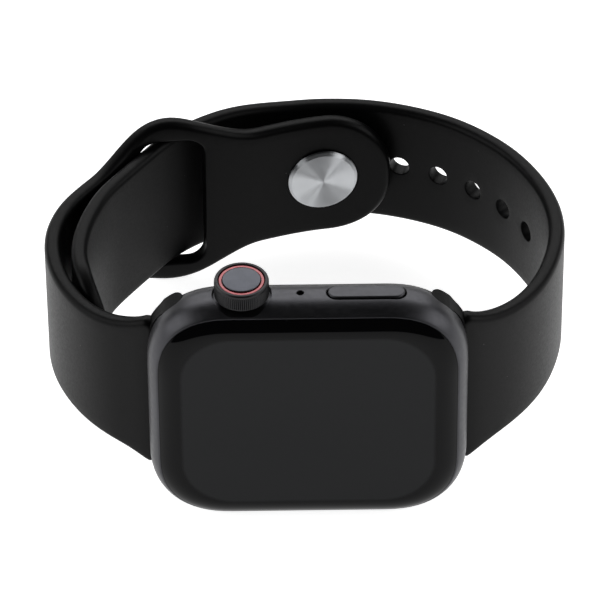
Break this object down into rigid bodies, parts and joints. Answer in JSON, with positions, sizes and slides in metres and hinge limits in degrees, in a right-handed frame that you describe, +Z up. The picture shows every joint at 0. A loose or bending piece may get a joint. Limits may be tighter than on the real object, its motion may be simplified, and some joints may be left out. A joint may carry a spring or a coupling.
{
  "type": "smartwatch",
  "caption": "Rounded square smartwatch with a turning crown, a side button and a closed pin-and-tuck elastomer band that slides out of the case.",
  "frame": {"origin": "under the middle of the whole watch, on the surface it stands on", "axes": "+X along the case past the band's two ends, towards the button's side; +Y from the screen back to the closed band; +Z up, out of the crown's side of the case, which leans back by 5.7 degrees"},
  "size_m": [0.0732, 0.0618, 0.0407],
  "materials": {
    "case_metal": "dark grey anodised, fine satin",
    "front_glass": "polished black cover glass",
    "display": "dark panel",
    "back_ceramic": "polished black",
    "crystal": "polished dark crystal",
    "crown_cap": "smooth dark grey",
    "ring_red": "satin red",
    "band": "matte moulded elastomer",
    "stud_steel": "radially brushed",
    "inner_steel": "fine satin",
    "brass": "turned",
    "copper": "enamelled copper",
    "board": "solder-masked board",
    "battery": "foil pouch",
    "dark_plastic": "moulded",
    "seal": "matte"
  },
  "bodies": {
    "case": {"housing": "case_metal", "front_glass": "front_glass", "display_panel": "display", "display_flex": "copper", "display_seal": "seal", "back_seal": "seal", "back_cover": "back_ceramic", "back_crystal": "crystal", "charging_coil": "copper", "alignment_magnet": "inner_steel", "logic_board": "board", "sensor_board": "board", "board_shield": "inner_steel", "battery": "battery", "haptic_motor": "inner_steel", "speaker_module": "dark_plastic", "speaker_mesh": "inner_steel", "microphone": "dark_plastic", "microphone_mesh": "inner_steel", "crown_bushing": "brass", "crown_encoder": "dark_plastic", "crown_switch": "dark_plastic", "side_button_switch": "dark_plastic", "board_screw_1": "inner_steel", "photodiode_1": "dark_plastic", "board_screw_2": "inner_steel", "photodiode_2": "dark_plastic", "board_screw_3": "inner_steel", "photodiode_3": "dark_plastic", "board_screw_4": "inner_steel", "photodiode_4": "dark_plastic"},
    "crown_slider": {"crown_thrust_pin": "inner_steel"},
    "crown": {"crown_knob": "case_metal", "crown_ring": "ring_red", "crown_cap": "crown_cap", "crown_shaft": "inner_steel", "crown_encoder_drum": "inner_steel"},
    "side_button": {"side_button": "case_metal", "side_button_plunger": "inner_steel"},
    "short_release": {"short_release_button": "case_metal"},
    "long_release": {"long_release_button": "case_metal"},
    "band": {"short_strap": "band", "long_strap": "band", "stud_base": "stud_steel", "stud_pin": "stud_steel"},
    "short_catch": {"short_strap_catch": "inner_steel"},
    "long_catch": {"long_strap_catch": "inner_steel"}
  },
  "joints": [
    {"name": "crown_press", "type": "slide", "parent": "case", "child": "crown_slider", "axis": [0, -0.0998, -0.995], "range_m": [0, 0.0003], "stiffness_N_per_m": 3000, "springref_m": -0.0001},
    {"name": "crown_turn", "type": "hinge", "parent": "crown_slider", "child": "crown", "pos_m": [-0.00882, -0.02239, 0.03883], "axis": [0, 0.0998, 0.995], "continuous": true},
    {"name": "side_button_press", "type": "slide", "parent": "case", "child": "side_button", "axis": [0, -0.0998, -0.995], "range_m": [0, 0.0003], "stiffness_N_per_m": 4000, "springref_m": -0.0001},
    {"name": "short_release_press", "type": "slide", "parent": "case", "child": "short_release", "axis": [0, -0.995, 0.0998], "range_m": [0, 0.0003], "stiffness_N_per_m": 2000, "springref_m": -0.0002},
    {"name": "long_release_press", "type": "slide", "parent": "case", "child": "long_release", "axis": [0, -0.995, 0.0998], "range_m": [0, 0.0003], "stiffness_N_per_m": 2000, "springref_m": -0.0002},
    {"name": "band_slide", "type": "slide", "parent": "case", "child": "band", "axis": [0, 0.0998, 0.995], "range_m": [0, 0.04]},
    {"name": "short_catch_press", "type": "slide", "parent": "band", "child": "short_catch", "axis": [0, -0.995, 0.0998], "range_m": [0, 0.0003]},
    {"name": "long_catch_press", "type": "slide", "parent": "band", "child": "long_catch", "axis": [0, -0.995, 0.0998], "range_m": [0, 0.0003]}
  ],
  "couplings": [
    {"joint": "short_catch_press", "follows": "short_release_press", "ratio": 1},
    {"joint": "long_catch_press", "follows": "long_release_press", "ratio": 1}
  ]
}
